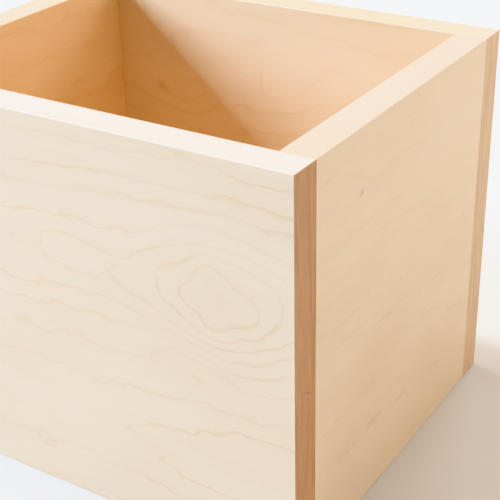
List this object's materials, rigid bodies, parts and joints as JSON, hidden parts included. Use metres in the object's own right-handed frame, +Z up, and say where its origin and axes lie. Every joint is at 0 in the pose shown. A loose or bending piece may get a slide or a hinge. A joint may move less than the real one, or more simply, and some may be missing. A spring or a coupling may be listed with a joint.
{
  "type": "open-topped wooden box",
  "caption": "Open-topped solid maple box: full-width front and back boards butt-jointed over the side boards, hidden dowel pins and a floating bottom panel in a groove.",
  "frame": {"origin": "on the table, under the middle of the box", "axes": "+X to the right along the front board, +Y from the front board to the back board, +Z up"},
  "size_m": [0.26, 0.216, 0.21],
  "materials": {
    "maple_front": "bare sanded maple, flat-sawn, pale cream",
    "maple_back": "bare sanded maple, flat-sawn",
    "maple_left": "bare sanded maple",
    "maple_right": "bare sanded maple, nearly plain",
    "maple_bottom": "bare sanded maple",
    "beech_dowel": "bare fluted beech"
  },
  "bodies": {
    "root": {"front_panel": "maple_front", "back_panel": "maple_back", "left_panel": "maple_left", "right_panel": "maple_right", "bottom_panel": "maple_bottom", "dowel_front_left_1": "beech_dowel", "dowel_front_left_2": "beech_dowel", "dowel_front_left_3": "beech_dowel", "dowel_front_left_4": "beech_dowel", "dowel_front_right_1": "beech_dowel", "dowel_front_right_2": "beech_dowel", "dowel_front_right_3": "beech_dowel", "dowel_front_right_4": "beech_dowel", "dowel_back_left_1": "beech_dowel", "dowel_back_left_2": "beech_dowel", "dowel_back_left_3": "beech_dowel", "dowel_back_left_4": "beech_dowel", "dowel_back_right_1": "beech_dowel", "dowel_back_right_2": "beech_dowel", "dowel_back_right_3": "beech_dowel", "dowel_back_right_4": "beech_dowel"}
  },
  "joints": []
}
